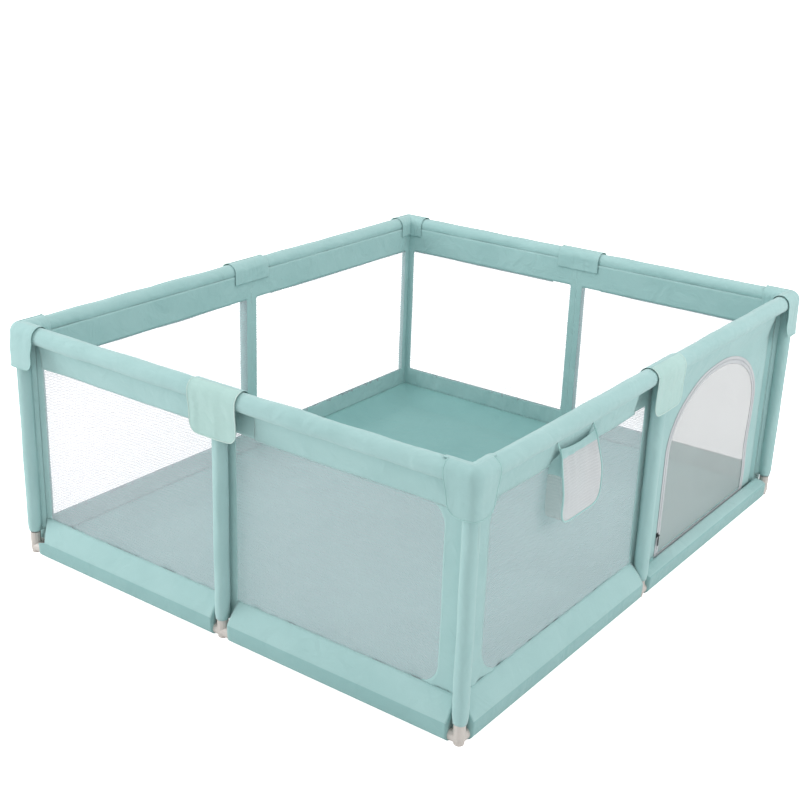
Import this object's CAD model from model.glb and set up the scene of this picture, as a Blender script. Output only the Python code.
"""Looks of a knock-down child's playpen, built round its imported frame.

The cover is a padded roll, a fabric frame and a net in each bay, base sleeves, post sleeves, flaps
over the joints, a floor mat, a net pocket and a door with a zip. The frame's own boxes place it.
A point on a wall is (along, out, z): along the wall from its middle, outwards from the axis of its
tubes, and up from the floor. Lengths are in metres.
"""

import logging
import math
from collections.abc import Callable, Iterable
from dataclasses import dataclass
from enum import Enum

import bmesh
import bpy
from mathutils import Matrix, Quaternion, Vector, noise


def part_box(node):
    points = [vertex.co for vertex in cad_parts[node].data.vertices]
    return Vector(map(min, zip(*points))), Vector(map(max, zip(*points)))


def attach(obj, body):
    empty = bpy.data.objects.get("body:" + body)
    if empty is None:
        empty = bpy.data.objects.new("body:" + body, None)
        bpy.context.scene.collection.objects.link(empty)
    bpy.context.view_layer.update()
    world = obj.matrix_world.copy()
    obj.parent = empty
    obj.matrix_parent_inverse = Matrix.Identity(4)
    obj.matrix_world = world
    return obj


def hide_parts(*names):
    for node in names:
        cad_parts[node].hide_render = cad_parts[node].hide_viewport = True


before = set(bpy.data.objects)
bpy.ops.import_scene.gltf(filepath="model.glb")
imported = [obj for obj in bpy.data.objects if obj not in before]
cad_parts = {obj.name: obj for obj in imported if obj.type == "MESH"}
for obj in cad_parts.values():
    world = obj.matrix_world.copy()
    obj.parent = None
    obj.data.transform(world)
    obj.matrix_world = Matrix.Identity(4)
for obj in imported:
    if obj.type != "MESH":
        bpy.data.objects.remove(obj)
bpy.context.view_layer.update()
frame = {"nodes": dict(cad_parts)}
MM = 0.001
# Points closer than this are merged.
MERGE = 0.001 * MM
# Corner radii of a rectangle that is cut square.
SQUARE_CORNERS = (MERGE, MERGE)
# Share of the pitch that a stitch fills; the rest is the gap to the next one.
STITCH_SHARE = 0.72
log = logging.getLogger("playpen")

Point2 = tuple[float, float]
Surface = Callable[[float, float], Vector]


# The frame that the cover is sewn round.


class Side(Enum):
    """A wall, numbered by its quarter turns from the front."""

    FRONT = 0
    RIGHT = 1
    BACK = 2
    LEFT = 3

    @property
    def wall(self) -> str:
        """Name of the wall in the CAD nodes."""
        return self.name.lower()

    @property
    def corner(self) -> str:
        """Name of the corner at the wall's far end."""
        return ("front_right", "back_right", "back_left", "front_left")[self.value]

    def turned(self, point: Vector) -> Vector:
        """Carries a point from the front wall's frame to this wall's, exactly."""
        x, y, z = point
        return Vector(((x, y, z), (-y, x, z), (-x, -y, z), (y, -x, z))[self.value])


@dataclass(frozen=True)
class Layout:
    """Sizes of the frame, read from its nodes."""

    half_x: float
    half_y: float
    top_z: float
    base_z: float
    roll: float
    sheet_face: float
    sheet_back: float
    flap_reach: float
    flap_out: float
    flap_foot: float
    mat_low: float
    mat_rim: float

    @classmethod
    def from_frame(cls) -> "Layout":
        """Reads the sizes from the boxes of the CAD nodes.

        Returns:
            The sizes.
        """
        post, top, base = (
            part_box(name) for name in ("post_front_right", "top_rail_front_1", "base_rail_front_1")
        )
        flap, mat, door = (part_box(name) for name in ("flap_front_mid", "floor_mat", "door_panel"))
        half_x = (post[0].x + post[1].x) / 2
        half_y = -(post[0].y + post[1].y) / 2
        return cls(
            half_x=half_x,
            half_y=half_y,
            top_z=(top[0].z + top[1].z) / 2,
            base_z=(base[0].z + base[1].z) / 2,
            roll=-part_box("wall_front")[0].y - half_y,
            sheet_face=door[1].x - half_x,
            sheet_back=door[0].x - half_x,
            flap_reach=flap[1].x,
            flap_out=-flap[0].y - half_y,
            flap_foot=flap[0].z,
            mat_low=mat[0].z,
            mat_rim=mat[1].z,
        )

    @property
    def sheet_out(self) -> float:
        """Middle of the wall sheet, outwards from the axis of the tubes."""
        return (self.sheet_face + self.sheet_back) / 2

    def along(self, side: Side) -> float:
        """Middle of the wall to the axis of its corner posts."""
        return self.half_x if side.value % 2 == 0 else self.half_y

    def across(self, side: Side) -> float:
        """Middle of the playpen to the plane of the wall's tubes."""
        return self.half_y if side.value % 2 == 0 else self.half_x

    def point(self, side: Side, along: float, out: float, z: float) -> Vector:
        """A wall's point in the row frame."""
        return side.turned(Vector((along, -self.across(side) - out, z)))


LAYOUT = Layout.from_frame()


# Mesh work.


def blend(a: float, b: float, share: float) -> float:
    """Straight blend from a to b."""
    return a + (b - a) * share


def ease(x: float) -> float:
    """Smooth step of a value held between 0 and 1."""
    x = min(max(x, 0.0), 1.0)
    return x * x * (3 - 2 * x)


def ripple(along: float, across: float, seed: float) -> float:
    """Even noise from about -1 to 1, for slack cloth."""
    return 1.6 * noise.noise(Vector((along, across, seed)))


def cloth_mesh(
    name: str, cells: tuple[int, int], shape: Surface, size: Point2, wrap: bool = False
) -> bpy.types.Mesh:
    """A sheet from an even grid whose points are carried to their place.

    Args:
        name: Name of the mesh.
        cells: Columns and rows of the grid.
        shape: Place of the point at (u, v), both from 0 to 1; outwards is u turned towards v.
        size: Flat size in metres, which scales the UV map.
        wrap: Whether the grid closes on itself, so that points which meet are merged.

    Returns:
        The mesh, with a UV map in metres.
    """
    bm = bmesh.new()
    bmesh.ops.create_grid(bm, x_segments=cells[0], y_segments=cells[1], size=0.5)
    layer = bm.loops.layers.uv.verify()
    for face in bm.faces:
        for loop in face.loops:
            flat = loop.vert.co
            loop[layer].uv = ((flat.x + 0.5) * size[0], (flat.y + 0.5) * size[1])
    for vert in bm.verts:
        vert.co = shape(vert.co.x + 0.5, vert.co.y + 0.5)
    if wrap:
        bmesh.ops.remove_doubles(bm, verts=bm.verts, dist=MERGE)
    for face in bm.faces:
        face.smooth = True
    mesh = bpy.data.meshes.new(name)
    bm.to_mesh(mesh)
    bm.free()
    return mesh


def cord_mesh(name: str, points: list[Vector], radius: float) -> bpy.types.Mesh:
    """A thin round bead along points, for piping and bindings.

    Args:
        name: Name of the mesh.
        points: Places of its middle line, in order.
        radius: Radius of the bead.

    Returns:
        The mesh, closed at both ends.
    """
    curve = bpy.data.curves.new(name, "CURVE")
    curve.dimensions = "3D"
    curve.bevel_depth = radius
    curve.bevel_resolution = 2
    curve.use_fill_caps = True
    spline = curve.splines.new("POLY")
    spline.points.add(len(points) - 1)
    for target, point in zip(spline.points, points):
        target.co = (*point, 1)
    holder = bpy.data.objects.new(name, curve)
    bpy.context.scene.collection.objects.link(holder)
    evaluated = holder.evaluated_get(bpy.context.evaluated_depsgraph_get())
    mesh = bpy.data.meshes.new_from_object(evaluated)
    bpy.data.objects.remove(holder)
    bm = bmesh.new()
    bm.from_mesh(mesh)
    bmesh.ops.remove_doubles(bm, verts=bm.verts, dist=MERGE)
    bmesh.ops.recalc_face_normals(bm, faces=bm.faces)
    for face in bm.faces:
        face.smooth = True
    bm.to_mesh(mesh)
    bm.free()
    return mesh


def stitch_mesh(name: str, runs: Iterable[list[Vector]], pitch: float, thick: float) -> bpy.types.Mesh:
    """Short thread stitches along lines.

    Args:
        name: Name of the mesh.
        runs: Each run's points, close together.
        pitch: Distance from one stitch to the next.
        thick: Diameter of the thread.

    Returns:
        One mesh of small separate stitches, each a copy of one round bead.
    """
    # One operator call for each stitch would take minutes, so the bead is made once and then copied.
    bead = bmesh.new()
    bmesh.ops.create_icosphere(bead, subdivisions=1, radius=1)
    shape = [vert.co.copy() for vert in bead.verts]
    corners = [[vert.index for vert in face.verts] for face in bead.faces]
    bead.free()
    points, faces = [], []
    grow = Matrix.Diagonal((pitch * STITCH_SHARE / 2, thick / 2, thick / 2))
    for run in runs:
        gone = 0.0
        for start, end in zip(run, run[1:]):
            step = end - start
            turn = Vector((1, 0, 0)).rotation_difference(step).to_matrix() @ grow
            while gone < step.length:
                centre = start + step * (gone / step.length)
                faces += [[len(points) + index for index in corner] for corner in corners]
                points += [centre + turn @ point for point in shape]
                gone += pitch
            gone -= step.length
    mesh = bpy.data.meshes.new(name)
    mesh.from_pydata(points, [], faces)
    mesh.shade_smooth()
    return mesh


def add_modifier(obj: bpy.types.Object, kind: str, **settings: object) -> bpy.types.Modifier:
    """Adds a modifier with its settings.

    Args:
        obj: The piece.
        kind: The modifier's type.
        **settings: Its properties.

    Returns:
        The modifier.
    """
    modifier = obj.modifiers.new(kind.lower(), kind)
    for key, value in settings.items():
        setattr(modifier, key, value)
    return modifier


def add_piece(
    name: str,
    mesh: bpy.types.Mesh,
    finish: "Finish",
    body: str = "root",
    thickness: float = 0.0,
    replaces: tuple[str, ...] = (),
) -> bpy.types.Object:
    """Places a finished mesh in the scene.

    Args:
        name: Name of the piece.
        mesh: Its mesh, in the row frame.
        finish: The finish that it wears.
        body: The CAD body that it moves with.
        thickness: Thickness of the cloth, laid inwards, or 0 for none.
        replaces: CAD nodes that it stands for.

    Returns:
        The new object.
    """
    obj = bpy.data.objects.new(name, mesh)
    bpy.context.scene.collection.objects.link(obj)
    mesh.materials.clear()
    mesh.materials.append(finish.material())
    if thickness:
        add_modifier(obj, "SOLIDIFY", thickness=thickness, offset=-1.0)
    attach(obj, body)
    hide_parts(*replaces)
    log.info("%s: %d faces on %s", name, len(mesh.polygons), body)
    return obj


# Finishes.


def linear(colour: str) -> tuple[float, float, float, float]:
    """Turns an sRGB hex colour into linear RGBA.

    Args:
        colour: The colour, as #RRGGBB.

    Returns:
        Red, green, blue and an alpha of 1.
    """
    channels = [int(colour[i : i + 2], 16) / 255 for i in (1, 3, 5)]
    red, green, blue = (
        c / 12.92 if c <= 0.04045 else ((c + 0.055) / 1.055) ** 2.4 for c in channels
    )
    return red, green, blue, 1.0


def add_node(
    tree: bpy.types.NodeTree,
    kind: str,
    settings: dict[str, object] | None = None,
    inputs: dict[str | int, object] | None = None,
) -> bpy.types.Node:
    """Adds a node to a tree.

    Args:
        tree: The node tree.
        kind: The node's type.
        settings: Its own properties.
        inputs: Its inputs, each a value or the socket that feeds it.

    Returns:
        The node.
    """
    node = tree.nodes.new(kind)
    for key, value in (settings or {}).items():
        setattr(node, key, value)
    for key, value in (inputs or {}).items():
        if isinstance(value, bpy.types.NodeSocket):
            tree.links.new(value, node.inputs[key])
        else:
            node.inputs[key].default_value = value
    return node


def wave_scale(period: float) -> float:
    """Scale of a Wave texture whose bands repeat at this period."""
    return math.pi / 10 / period


@dataclass(frozen=True)
class Finish:
    """A finish: the material's name and the record's slot that it belongs to."""

    name: str
    slot: str

    def material(self) -> bpy.types.Material:
        """The finish's material, made the first time that it is asked for.

        Returns:
            The material.
        """
        made = bpy.data.materials.get(self.name)
        if made is None:
            made = bpy.data.materials.new(self.name)
            made.use_nodes = True
            tree = made.node_tree
            tree.nodes.clear()
            shader = add_node(tree, "ShaderNodeBsdfPrincipled")
            add_node(tree, "ShaderNodeOutputMaterial", inputs={"Surface": shader.outputs["BSDF"]})
            self.dress(tree, shader)
        return made

    def dress(self, tree: bpy.types.NodeTree, shader: bpy.types.Node) -> None:
        """Adds the finish's own nodes to the shader.

        Args:
            tree: The material's nodes.
            shader: Its Principled shader.
        """
        raise NotImplementedError


@dataclass(frozen=True)
class WovenCloth(Finish):
    """Plain-woven polyester: matt, with a pale sheen at grazing angles and soft creases."""

    colour: str
    deep: str
    thread: float
    crease: float = 1.2 * MM
    roughness: float = 0.82
    sheen: float = 0.30

    def dress(self, tree: bpy.types.NodeTree, shader: bpy.types.Node) -> None:
        """Weave along the UV map, uneven dye and slack in Object coordinates.

        Args:
            tree: The material's nodes.
            shader: Its Principled shader.
        """
        place = add_node(tree, "ShaderNodeTexCoord")
        flat, solid = place.outputs["UV"], place.outputs["Object"]
        threads = [
            add_node(
                tree,
                "ShaderNodeTexWave",
                {"wave_type": "BANDS", "bands_direction": direction},
                {"Vector": flat, "Scale": wave_scale(self.thread), "Distortion": 0.6, "Detail": 1.0},
            ).outputs["Fac"]
            for direction in ("X", "Y")
        ]
        weave = add_node(
            tree, "ShaderNodeMath", {"operation": "MULTIPLY"}, {0: threads[0], 1: threads[1]}
        ).outputs[0]
        slub = add_node(
            tree, "ShaderNodeTexNoise", None, {"Vector": solid, "Scale": 7.0, "Detail": 3.0}
        ).outputs["Fac"]
        shade = add_node(
            tree,
            "ShaderNodeMapRange",
            None,
            {"Value": slub, "From Min": 0.3, "From Max": 0.7, "To Min": 0.0, "To Max": 0.55},
        ).outputs[0]
        depth = add_node(
            tree, "ShaderNodeMath", {"operation": "MULTIPLY_ADD"}, {0: weave, 1: -0.28, 2: shade}
        ).outputs[0]
        colour = add_node(
            tree,
            "ShaderNodeMix",
            {"data_type": "RGBA", "clamp_factor": True},
            {0: depth, 6: linear(self.colour), 7: linear(self.deep)},
        ).outputs[2]
        rough = add_node(
            tree,
            "ShaderNodeMapRange",
            None,
            {"Value": slub, "To Min": self.roughness - 0.06, "To Max": self.roughness + 0.06},
        ).outputs[0]
        folds = add_node(
            tree,
            "ShaderNodeTexNoise",
            None,
            {"Vector": solid, "Scale": 13.0, "Detail": 3.0, "Distortion": 1.2},
        ).outputs["Fac"]
        slack = add_node(
            tree, "ShaderNodeBump", None, {"Height": folds, "Distance": self.crease * 4}
        ).outputs[0]
        bump = add_node(
            tree,
            "ShaderNodeBump",
            None,
            {"Height": weave, "Distance": self.thread * 0.12, "Strength": 0.5, "Normal": slack},
        ).outputs[0]
        for key, socket in (("Base Color", colour), ("Roughness", rough), ("Normal", bump)):
            tree.links.new(socket, shader.inputs[key])
        shader.inputs["Sheen Weight"].default_value = self.sheen
        shader.inputs["Sheen Roughness"].default_value = 0.45
        shader.inputs["Specular IOR Level"].default_value = 0.25


@dataclass(frozen=True)
class Netting(Finish):
    """Warp-knitted net: pale yarn round holes, so that what is behind shows through a veil."""

    colour: str
    cell: float
    cover: float
    wander: float = 0.10
    row: float = 8 * MM

    def dress(self, tree: bpy.types.NodeTree, shader: bpy.types.Node) -> None:
        """Diagonal yarns along the UV map, with uneven rows that drift.

        Args:
            tree: The material's nodes.
            shader: Its Principled shader.
        """
        place = add_node(tree, "ShaderNodeTexCoord").outputs["UV"]
        turned = add_node(
            tree, "ShaderNodeMapping", None, {"Vector": place, "Rotation": (0, 0, math.pi / 4)}
        ).outputs[0]
        yarns = [
            add_node(
                tree,
                "ShaderNodeTexWave",
                {"wave_type": "BANDS", "bands_direction": direction},
                {"Vector": turned, "Scale": wave_scale(self.cell)},
            ).outputs["Fac"]
            for direction in ("X", "Y")
        ]
        net = add_node(
            tree, "ShaderNodeMath", {"operation": "MAXIMUM"}, {0: yarns[0], 1: yarns[1]}
        ).outputs[0]
        rows = add_node(
            tree,
            "ShaderNodeTexWave",
            {"wave_type": "BANDS", "bands_direction": "Y"},
            {
                "Vector": place,
                "Scale": wave_scale(self.row),
                "Distortion": 2.5,
                "Detail": 1.0,
                "Detail Scale": 0.6,
            },
        ).outputs["Fac"]
        holes = add_node(
            tree,
            "ShaderNodeMapRange",
            None,
            {
                "Value": net,
                "From Min": 0.45,
                "From Max": 0.95,
                "To Min": self.cover - 0.18,
                "To Max": self.cover + 0.14,
            },
        ).outputs[0]
        drift = add_node(
            tree, "ShaderNodeMath", {"operation": "MULTIPLY_ADD"}, {0: rows, 1: self.wander, 2: holes}
        ).outputs[0]
        alpha = add_node(
            tree,
            "ShaderNodeMath",
            {"operation": "SUBTRACT", "use_clamp": True},
            {0: drift, 1: self.wander / 2},
        ).outputs[0]
        colour = add_node(
            tree,
            "ShaderNodeMix",
            {"data_type": "RGBA"},
            {0: rows, 6: linear(self.colour), 7: tuple(0.8 * c for c in linear(self.colour))},
        ).outputs[2]
        tree.links.new(alpha, shader.inputs["Alpha"])
        tree.links.new(colour, shader.inputs["Base Color"])
        shader.inputs["Roughness"].default_value = 0.8
        shader.inputs["Specular IOR Level"].default_value = 0.2
        shader.inputs["Sheen Weight"].default_value = 0.2


@dataclass(frozen=True)
class MouldedPlastic(Finish):
    """Injection-moulded ABS: an even body colour, a fine spark-eroded grain and a soft gloss."""

    colour: str
    grain: float = 1.2 * MM

    def dress(self, tree: bpy.types.NodeTree, shader: bpy.types.Node) -> None:
        """Fine grain and slightly uneven gloss in Object coordinates.

        Args:
            tree: The material's nodes.
            shader: Its Principled shader.
        """
        place = add_node(tree, "ShaderNodeTexCoord").outputs["Object"]
        grain = add_node(
            tree, "ShaderNodeTexNoise", None, {"Vector": place, "Scale": 1 / self.grain, "Detail": 2.0}
        ).outputs["Fac"]
        handled = add_node(
            tree, "ShaderNodeTexNoise", None, {"Vector": place, "Scale": 25.0, "Detail": 2.0}
        ).outputs["Fac"]
        rough = add_node(
            tree, "ShaderNodeMapRange", None, {"Value": handled, "To Min": 0.36, "To Max": 0.54}
        ).outputs[0]
        colour = add_node(
            tree,
            "ShaderNodeMix",
            {"data_type": "RGBA"},
            {0: handled, 6: linear(self.colour), 7: tuple(0.88 * c for c in linear(self.colour))},
        ).outputs[2]
        bump = add_node(
            tree,
            "ShaderNodeBump",
            None,
            {"Height": grain, "Distance": 0.08 * MM, "Strength": 0.5},
        ).outputs[0]
        for key, socket in (("Base Color", colour), ("Roughness", rough), ("Normal", bump)):
            tree.links.new(socket, shader.inputs[key])
        shader.inputs["IOR"].default_value = 1.53


@dataclass(frozen=True)
class DrawnMetal(Finish):
    """Metal with fine marks: steel tube from the die, or a zip's plated casting."""

    colour: str
    metallic: float
    roughness: float
    marks: float

    def dress(self, tree: bpy.types.NodeTree, shader: bpy.types.Node) -> None:
        """Long fine marks that break up the gloss.

        Args:
            tree: The material's nodes.
            shader: Its Principled shader.
        """
        place = add_node(tree, "ShaderNodeTexCoord").outputs["Object"]
        marks = add_node(
            tree, "ShaderNodeTexNoise", None, {"Vector": place, "Scale": 1 / self.marks, "Detail": 4.0}
        ).outputs["Fac"]
        rough = add_node(
            tree,
            "ShaderNodeMapRange",
            None,
            {"Value": marks, "To Min": self.roughness - 0.1, "To Max": self.roughness + 0.12},
        ).outputs[0]
        colour = add_node(
            tree,
            "ShaderNodeMix",
            {"data_type": "RGBA"},
            {0: marks, 6: linear(self.colour), 7: tuple(0.82 * c for c in linear(self.colour))},
        ).outputs[2]
        bump = add_node(
            tree, "ShaderNodeBump", None, {"Height": marks, "Distance": 0.03 * MM, "Strength": 0.4}
        ).outputs[0]
        for key, socket in (("Base Color", colour), ("Roughness", rough), ("Normal", bump)):
            tree.links.new(socket, shader.inputs[key])
        shader.inputs["Metallic"].default_value = self.metallic


@dataclass(frozen=True)
class Finishes:
    """Every finish on the playpen."""

    # 300D polyester Oxford: a close matt weave of 0.6 mm threads. It is drawn at 2 mm, because finer
    # threads than that run together at the distance from which the whole playpen is seen.
    oxford: WovenCloth = WovenCloth("oxford_cloth_mint", "cover_fabric", "#A5C8C7", "#97BDBC", 2.0 * MM)
    # The same cloth cut for the base sleeves, from a deeper dye lot.
    base: WovenCloth = WovenCloth("oxford_cloth_base", "cover_fabric", "#91B9B8", "#86AFAE", 2.0 * MM)
    # Brushed polyester twill on the flaps, paler and softer.
    flap: WovenCloth = WovenCloth("brushed_twill_flap", "flap_fabric", "#B0D0CB", "#A4C5C0", 2.4 * MM)
    # Coated Oxford of the floor mat, deeper and less fluffy.
    mat: WovenCloth = WovenCloth(
        "coated_oxford_mat", "mat_fabric", "#8BBAB8", "#80B0AF", 2.4 * MM, 1.0 * MM, 0.7, 0.15
    )
    # Hexagonal polyester net of 1.5 mm holes, drawn at 3 mm so that its rows still show.
    net: Netting = Netting("hexagonal_net_wall", "door_mesh", "#D8D7DE", 3.0 * MM, 0.44, 0.22)
    # Closer net of the door, greyer and less open, drawn at 2.4 mm.
    door: Netting = Netting("hexagonal_net_door", "door_mesh", "#B9BABA", 2.4 * MM, 0.66)
    # Nets of the pocket: a stout one in front that looks nearly solid, and a light one at its sides.
    pocket: Netting = Netting("hexagonal_net_pocket", "pocket_net", "#D6D8DA", 2.2 * MM, 0.80)
    gusset: Netting = Netting("hexagonal_net_gusset", "pocket_net", "#C6D2D0", 2.4 * MM, 0.52)
    # Pale grey zip tape: a tight flat weave with hardly any creases, drawn at 1.4 mm.
    tape: WovenCloth = WovenCloth(
        "woven_zip_tape", "cover_fabric", "#C8CBCE", "#B7BBBF", 1.4 * MM, 0.2 * MM
    )
    # Bias-cut polyester tape folded over raw edges. It catches the light as a thin line.
    binding: WovenCloth = WovenCloth(
        "folded_binding", "cover_fabric", "#A9D0CD", "#96C1BE", 1.2 * MM, 0.2 * MM
    )
    pale_binding: WovenCloth = WovenCloth(
        "pale_folded_binding", "flap_fabric", "#CDE2DC", "#BAD3CD", 1.2 * MM, 0.2 * MM
    )
    # Spun polyester sewing thread, a little lighter than the cloth that it sinks into.
    thread: WovenCloth = WovenCloth(
        "spun_polyester_thread", "cover_fabric", "#B5D8D5", "#9CC6C5", 0.8 * MM, 0.1 * MM
    )
    # ABS moulded in a warm light grey, with a spark-eroded grain that softens its gloss.
    plastic: MouldedPlastic = MouldedPlastic("moulded_abs_connector", "connector_plastic", "#D3CCC6")
    # Galvanised steel tube, drawn through a die: a soft grey shine with marks along it.
    steel: DrawnMetal = DrawnMetal("galvanised_steel_tube", "steel_tube", "#B9BCBE", 1.0, 0.38, 8 * MM)
    # Zinc casting plated dark, for the zip's slider and pull.
    zinc: DrawnMetal = DrawnMetal("plated_zinc_casting", "zip_metal", "#5A5A5C", 0.9, 0.42, 2 * MM)


FINISH = Finishes()


# Cover.


@dataclass(frozen=True)
class Bay:
    """Half of a wall, from its middle post to a corner post."""

    side: Side
    number: int

    @property
    def name(self) -> str:
        """Wall and number, as the CAD rails have them."""
        return f"{self.side.wall}_{self.number}"

    @property
    def wall_node(self) -> str:
        """CAD node of the wall."""
        return f"wall_{self.side.wall}"

    @property
    def length(self) -> float:
        """Axis of the middle post to the axis of the corner post."""
        return LAYOUT.along(self.side)

    @property
    def seed(self) -> float:
        """A number of its own for the bay's noise."""
        return 7.3 * self.side.value + 3.1 * self.number

    @property
    def has_door(self) -> bool:
        """Whether the door is in this bay."""
        return self.side is Side.RIGHT and self.number == 2

    def along(self, from_middle: float) -> float:
        """Place along the wall at a distance from the middle post's axis."""
        return from_middle if self.number == 2 else -from_middle

    def span(self, start: float, end: float) -> Point2:
        """Low and high place along the wall, start and end being distances from the middle post."""
        low, high = sorted((self.along(start), self.along(end)))
        return low, high

    def point(self, along: float, out: float, z: float) -> Vector:
        """The wall's point in the row frame."""
        return LAYOUT.point(self.side, along, out, z)


BAYS = [Bay(side, number) for side in Side for number in (1, 2)]


@dataclass
class TopRoll:
    """Foam roll in its cloth cover round a top rail, with gathered ends."""

    bay: Bay
    end_gap: float = 0.046
    shoulder: float = 0.011
    dent: float = 1.3 * MM
    pucker: float = 0.25
    wall: float = 2.5 * MM
    cells: tuple[int, int] = (150, 40)

    def radius(self, distance: float) -> float:
        """Radius of the roll, rounded over at the shoulder.

        Args:
            distance: Distance from the nearer end.

        Returns:
            The radius there.
        """
        if distance >= self.shoulder:
            return LAYOUT.roll
        gone = 1 - distance / self.shoulder
        return LAYOUT.roll - self.shoulder * (1 - math.sqrt(max(1 - gone * gone, 0.0)))

    def surface(self, u: float, v: float) -> Vector:
        """Point of the cover.

        Args:
            u: Share of the way along the roll.
            v: Share of the way round it, from underneath.

        Returns:
            The point.
        """
        low, high = self.bay.span(self.end_gap, self.bay.length - self.end_gap)
        along = blend(low, high, u)
        radius = self.radius(min(along - low, high - along))
        angle = 2 * math.pi * v - math.pi / 2
        sideways, upwards = math.cos(angle), math.sin(angle)
        soft = ripple(along * 11, upwards * 0.8, self.bay.seed + sideways)
        puckers = self.pucker * ripple(along * 60, v * 9, self.bay.seed)
        radius += self.dent * (soft + puckers) - self.dent * 1.1
        return self.bay.point(along, radius * sideways, LAYOUT.top_z + radius * upwards)

    def build(self) -> None:
        """Makes the roll."""
        length = self.bay.length - 2 * self.end_gap
        mesh = cloth_mesh(
            f"roll_{self.bay.name}", self.cells, self.surface, (length, math.tau * LAYOUT.roll), True
        )
        obj = add_piece(
            mesh.name, mesh, FINISH.oxford, thickness=self.wall, replaces=(self.bay.wall_node,)
        )


@dataclass
class OuterBand:
    """Outer layer of the band below a roll: it hangs from under the roll to the wall.

    Its slope follows a curve whose power is hollow. curl is the length over which its ends turn in.
    """

    bay: Bay
    middle_start: float = 0.092
    corner_start: float = 0.046
    top: Point2 = (-0.004, 0.630)
    foot: Point2 = (-0.0200, 0.552)
    curl: float = 0.014
    hollow: float = 1.3
    belly: float = 2.2 * MM
    slack: float = 1.3 * MM
    hem_wave: float = 1.5 * MM
    cells: tuple[int, int] = (110, 14)
    thickness: float = 1.0 * MM

    @classmethod
    def rise(cls, z: float) -> float:
        """How far the band's slope stands out over its foot at a height."""
        share = max((z - cls.foot[1]) / (cls.top[1] - cls.foot[1]), 0.0)
        return (cls.top[0] - cls.foot[0]) * share**cls.hollow

    def surface(self, u: float, v: float) -> Vector:
        """Point of the band.

        Args:
            u: Share of the way along it.
            v: Share of the way up from its lower edge.

        Returns:
            The point.
        """
        low, high = self.bay.span(self.middle_start, self.bay.length - self.corner_start)
        along = blend(low, high, u)
        out = blend(self.foot[0], self.top[0], v**self.hollow)
        z = blend(self.foot[1], self.top[1], v)
        soft = ripple(along * 8, z * 14, self.bay.seed + 20)
        out += self.belly * math.sin(math.pi * v) + self.slack * soft * (1 - v * v)
        z += self.hem_wave * ripple(along * 5, 0.0, self.bay.seed + 30) * (1 - v)
        inwards = 1 - ease(min(along - low, high - along) / self.curl)
        out = blend(out, LAYOUT.sheet_face + 1.2 * MM, inwards)
        return self.bay.point(along, out, z)

    def build(self) -> None:
        """Makes the band."""
        length = self.bay.length - self.middle_start - self.corner_start
        flat = (length, math.dist(self.top, self.foot) + 4 * MM)
        mesh = cloth_mesh(f"band_{self.bay.name}", self.cells, self.surface, flat)
        obj = add_piece(
            mesh.name, mesh, FINISH.oxford, thickness=self.thickness, replaces=(self.bay.wall_node,)
        )
        steps = 120
        hem = [self.surface(i / steps, 0.07) for i in range(steps + 1)]
        low, high = (self.surface(0.5, v) for v in (0.0, 0.2))
        outwards = (high - low).cross(self.surface(0.6, 0.1) - self.surface(0.4, 0.1)).normalized()
        run = [point - outwards * 0.2 * MM for point in hem]
        mesh = stitch_mesh(f"band_stitches_{self.bay.name}", [run], 5 * MM, 0.9 * MM)
        stitches = add_piece(mesh.name, mesh, FINISH.thread)
        f"roll_{self.bay.name}"


def square_edge(t: float) -> Point2:
    """Point round the edge of a square from -1 to 1, anticlockwise from its lower left corner.

    The points crowd towards the corners, where an outline made from it may be rounded.

    Args:
        t: Share of the way round.

    Returns:
        The point.
    """
    side, share = divmod(4 * (t % 1.0), 1.0)
    run = math.sin(math.pi * (share - 0.5))
    return ((run, -1.0), (1.0, run), (-run, 1.0), (-1.0, -run))[int(side)]


def rounded_box(t: float, low: Point2, high: Point2, radii: Point2) -> Point2:
    """Point round an upright rectangle, for the same t as square_edge.

    Args:
        t: Share of the way round.
        low: Its lower corner, at its low end along the wall.
        high: Its upper corner, at its high end.
        radii: Radius of the corners at the low end and at the high end.

    Returns:
        The place along the wall and the height.
    """
    x, y = square_edge(t)
    radius = radii[0] if x < 0 else radii[1]
    half = [(b - a) / 2 for a, b in zip(low, high)]
    middle = [(a + b) / 2 for a, b in zip(low, high)]
    place = (x * half[0], y * half[1])
    core = [max(min(p, h - radius), radius - h) for p, h in zip(place, half)]
    spread = Vector((place[0] - core[0], place[1] - core[1]))
    if spread.length > 0:
        spread.length = radius
    return middle[0] + core[0] + spread.x, middle[1] + core[1] + spread.y


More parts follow.
